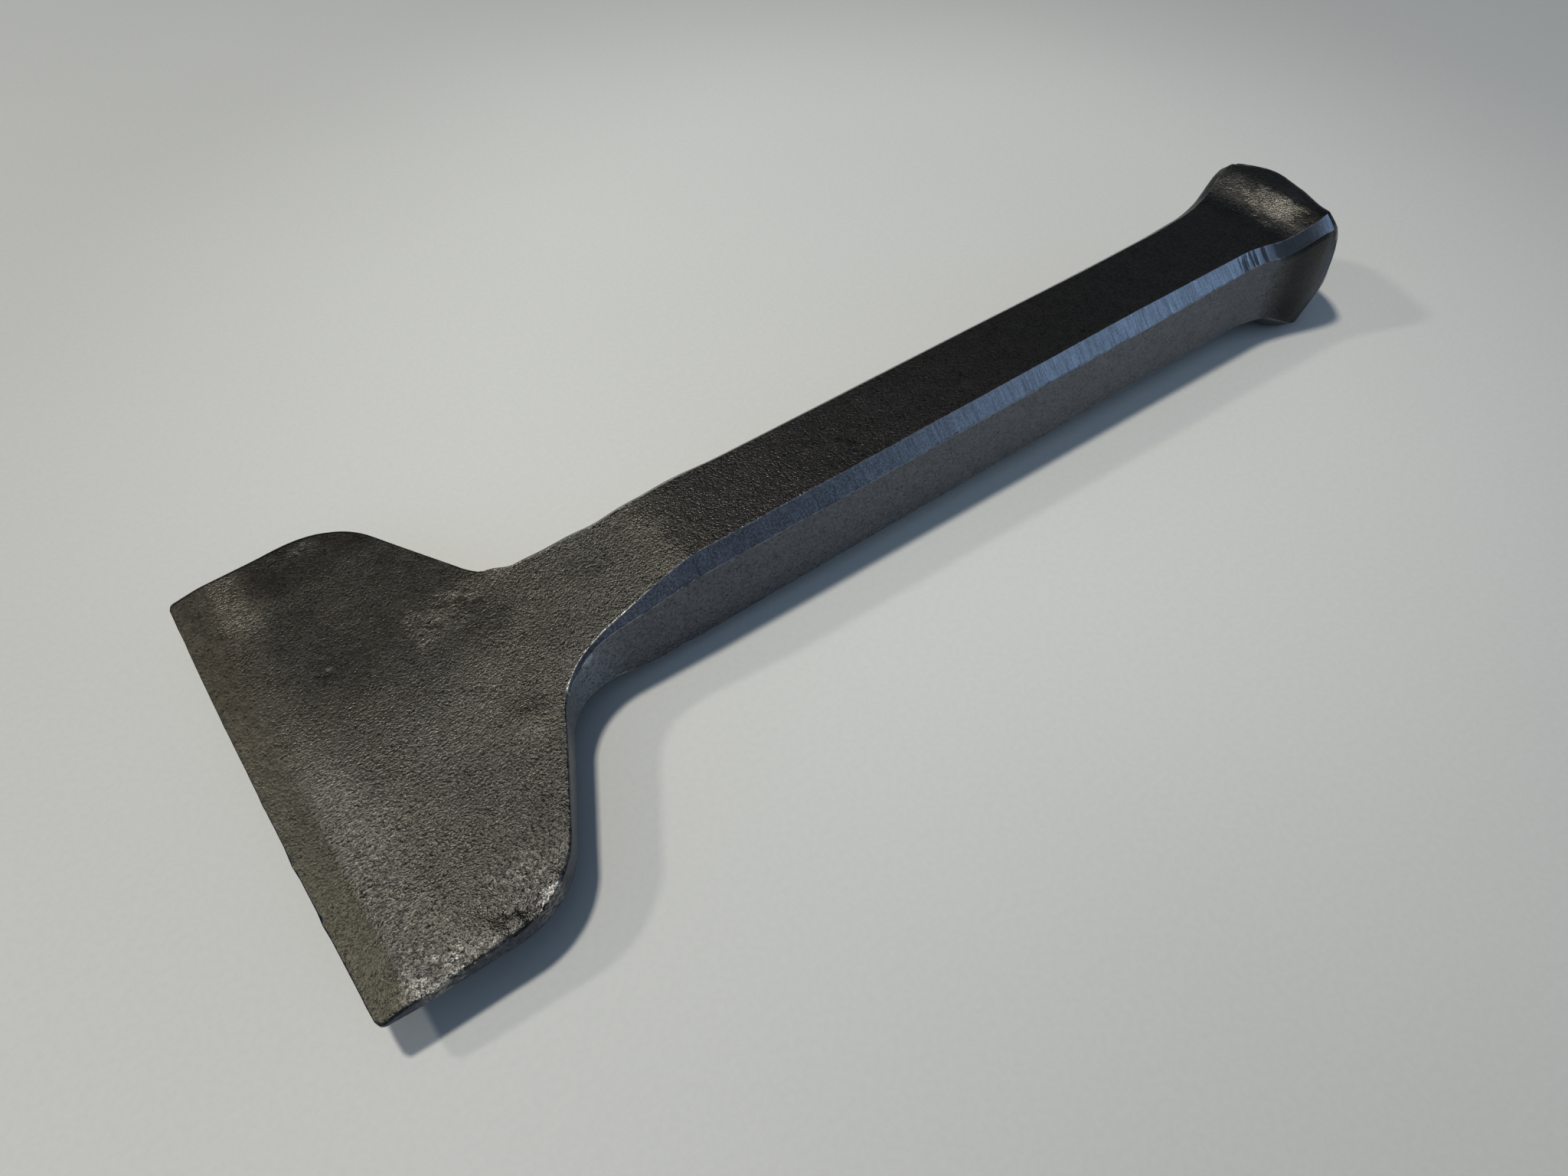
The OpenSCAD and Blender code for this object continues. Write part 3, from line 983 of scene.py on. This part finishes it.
def makeSkin():
    look = skinLook
    material, tree, shader = newMaterial("forged skin")
    parts = skinParts(tree)
    height, rubbed = skinRelief(tree, parts)
    colour = blendColour(tree, rubbed, skinColour(tree, parts), look["rubbed"])
    # painted glint on the rubbed ridge by the dent
    ridgeWearAndGlint = spotAt(tree, parts["vector"], *look["ridgeWearAndGlintSpot"])
    ridgeWearAndGlint = times(tree, ridgeWearAndGlint, span(tree, parts["wrinkle"], *look["ridgeWearAndGlintCrest"]))
    colour = blendColour(tree, ridgeWearAndGlint, colour, look["ridgeWearAndGlint"])
    # crevices stay dark and crests are rubbed
    crevice = span(tree, parts["grain"]["Height"], *look["crevice"])
    shade = times(tree, crevice, span(tree, parts["grain"]["Speck"], 0, 1, *look["speck"]))
    wire(tree, blendColour(tree, 1.0, colour, shade, "MULTIPLY"), shader.inputs["Base Color"])
    wire(tree, look["metallic"], shader.inputs["Metallic"])
    wire(tree, span(tree, parts["small"], 0, 1, *look["roughness"]), shader.inputs["Roughness"])
    addBump(tree, height, shader)
    return material


# The grinder only brushed the neck: where two values stand side by side, the first is for the neck and the
# second for the shank. It lifted off just before the head and along the far side of the flare, and the
# facet ends raggedly along the upright flat
facetLook = {
    "steel": (0.49, 0.50, 0.525), "line": (0.255, 0.265, 0.285), "skin": (0.055, 0.055, 0.053),
    "metallic": 1.0, "roughness": (0.44, 0.34), "spacing": 0.42, "lineRelief": 0.03,
    "brushed": {"x": (60, 150)}, "dull": (0.39, 0.97), "speckDark": (0.65, 0.85), "speckLight": (1.35, 1.15),
    "grainSize": 0.26, "grainRelief": (0.045, 0.018),
    "wornWidth": 0.2, "wornShare": 0.4,
    "liftFrom": {"x": (187.4, 190)}, "liftTo": {"x": (200, 195.5)}, "liftShare": 0.85,
    "farLift": {"x": (172, 182), "y": (0, 1)},
    "raggedAt": {"side": (9.55, 9.75), "x": (184, 180)}, "raggedShare": 0.6,
    "raggedNoise": (1.2, 4, 0.7), "raggedReach": 0.7,
    "notchNoise": (1.3, 2, 0.6, (1, 0.1, 0.1)), "notch": (0.50, 0.55), "notchAt": {"x": (180.4, 188.6, 0.7)},
    "notchShare": 0.8,
}


def makeFacets():
    look = facetLook
    material, tree, shader = newMaterial("ground facet")
    vector = toolVector(tree)
    axes = axesOf(tree, vector)
    ragged = times(tree, cloud(tree, vector, *look["raggedNoise"]), look["raggedReach"])
    axes["side"] = calc(tree, "ADD", calc(tree, "ABSOLUTE", axes["y"]), ragged)
    at = reader(tree, axes, look)
    lines = useGroup(tree, groundLines, Vector=vector, Spacing=look["spacing"])
    grain = useGroup(tree, forgeGrain, Vector=vector, Size=look["grainSize"])
    distance = attribute(tree, "edgeDistance")
    worn = useGroup(tree, wornEdge, Vector=vector, Distance=distance, Width=look["wornWidth"])["Mask"]
    brushed = at("brushed")
    # where the skin shows instead of ground steel
    lifted = times(tree, at("liftFrom"), at("liftTo"), look["liftShare"])
    notches = span(tree, cloud(tree, vector, *look["notchNoise"]), *look["notch"])
    notches = times(tree, notches, at("notchAt"), look["notchShare"])
    hidden = times(tree, at("raggedAt"), look["raggedShare"])
    for mask in (lifted, at("farLift"), notches):
        hidden = calc(tree, "MAXIMUM", hidden, mask)
    darkest, lightest = (span(tree, brushed, 0, 1, *look[name]) for name in ("speckDark", "speckLight"))
    speck = span(tree, grain["Speck"], 0, 1, darkest, lightest)
    dull = times(tree, span(tree, brushed, 0, 1, *look["dull"]), speck)
    colour = blendColour(tree, lines["Tone"], look["line"], look["steel"])
    colour = blendColour(tree, 1.0, colour, dull, "MULTIPLY")
    colour = blendColour(tree, hidden, colour, look["skin"])
    colour = blendColour(tree, times(tree, worn, look["wornShare"]), colour, look["steel"])
    wire(tree, colour, shader.inputs["Base Color"])
    wire(tree, look["metallic"], shader.inputs["Metallic"])
    wire(tree, span(tree, lines["Tone"], 0, 1, *look["roughness"]), shader.inputs["Roughness"])
    rough = times(tree, grain["Height"], span(tree, brushed, 0, 1, *look["grainRelief"]))
    addBump(tree, calc(tree, "ADD", times(tree, lines["Height"], look["lineRelief"]), rough), shader)
    return material


chisel.material_slots[0].material = makeSkin()
chisel.material_slots[1].material = makeFacets()
print("finishes made")


# Bench, light and camera

# A painted pool of light: the bench is palest about one place, and darker by its last value from some way off
bench = {
    "colour": (0.576, 0.575, 0.531), "size": 3, "roughness": 0.55,
    "speckles": (0.0009, 2, 0.6), "speckleTones": (0.2, 0.8, 0.97, 1.02),
    "clouds": (0.12, 3, 0.5), "cloudTones": (0.3, 0.7, -0.015, 0.015),
    "paintedLightCentre": (0.045, 0.042, 0), "paintedLightFall": (0.068, 0.193, 1.0, 0.77),
}
# Place in mm, turn in degrees
view = {
    "place": (-94.709, -100.147, 134.705), "turn": (40.5377, -0.1110, -36.5292),
    "lens": 25.7505, "sensor": 36, "nearest": 0.01,
}
lamps = {
    "overhead": {
        "place": (-0.172, 0.126, 0.766), "size": (0.065, 0.065), "power": 4.3, "colour": (1.0, 0.955, 0.89),
    },
    "second": {
        "place": (-0.519, 0.371, 0.600), "size": (0.06, 0.06), "power": 1.75, "colour": (1.0, 0.97, 0.93),
    },
    "window": {
        "place": (0.78, -0.58, 0.33), "size": (0.8, 0.5), "power": 0.85, "colour": (0.38, 0.64, 1.0),
    },
}
# Colours, and the ways that they lie in with how far about them they reach
sky = {
    "far": (0.056, 0.06, 0.065), "wall": (0.42, 0.43, 0.43),
    "near": ((0.08, 0.10, 0.145), (0.45, -0.85, 0), (-0.5, 0.6)),
    "left": ((0.30, 0.42, 0.60), (-0.90, -0.43, 0), (0.1, 0.8)),
    "above": ((0.20, 0.28, 0.40), (0, 0, 1), (0.8, 0.97)),
}


def makeBench():
    deselectAll()
    bpy.ops.mesh.primitive_plane_add(size=bench["size"])
    top = bpy.context.object
    top.name = "bench_top"
    material, tree, shader = newMaterial("bench")
    vector = put(tree, "TexCoord").outputs["Object"]
    speckle = span(tree, cloud(tree, vector, *bench["speckles"]), *bench["speckleTones"])
    cloudy = span(tree, cloud(tree, vector, *bench["clouds"]), *bench["cloudTones"])
    # a painted pool of light, palest about one place on the bench
    paintedLightFall = span(tree, distanceTo(tree, vector, bench["paintedLightCentre"]), *bench["paintedLightFall"])
    tone = times(tree, calc(tree, "ADD", speckle, cloudy), paintedLightFall)
    wire(tree, blendColour(tree, 1.0, bench["colour"], tone, "MULTIPLY"), shader.inputs["Base Color"])
    wire(tree, bench["roughness"], shader.inputs["Roughness"])
    top.data.materials.append(material)


def addLamp(name, place, size, power, colour):
    bpy.ops.object.light_add(type="AREA", location=place)
    lamp = bpy.context.object
    lamp.name = name
    lamp.data.shape = "RECTANGLE"
    lamp.data.size, lamp.data.size_y = size
    lamp.data.energy = power
    lamp.data.color = colour
    lamp.rotation_euler = (-lamp.location).to_track_quat("-Z", "Y").to_euler()


def makeSky():
    # a dim room: daylight from above and from the left, and little from the walls ahead
    world = bpy.data.worlds.new("room")
    bpy.context.scene.world = world
    world.use_nodes = True
    tree = world.node_tree
    direction = put(tree, "TexCoord").outputs["Generated"]
    room = sky["far"]
    for name in ("near", "left", "above"):
        colour, way, levels = sky[name]
        toward = put(tree, "VectorMath", operation="DOT_PRODUCT")
        wire(tree, direction, toward.inputs[0])
        wire(tree, way, toward.inputs[1])
        room = blendColour(tree, span(tree, toward.outputs["Value"], *levels), room, colour)
    # the camera sees a plain pale wall behind the bench
    seen = blendColour(tree, put(tree, "LightPath").outputs["Is Camera Ray"], room, sky["wall"])
    wire(tree, seen, tree.nodes["Background"].inputs["Color"])


makeBench()
for name, lamp in lamps.items():
    addLamp(name, **lamp)
makeSky()

deselectAll()
bpy.ops.object.camera_add(
    location=[v * mm for v in view["place"]], rotation=[math.radians(v) for v in view["turn"]])
camera = bpy.context.object
camera.data.lens = view["lens"]
camera.data.sensor_width = view["sensor"]
camera.data.clip_start = view["nearest"]
bpy.context.scene.camera = camera
bpy.context.scene.view_settings.view_transform = "Standard"
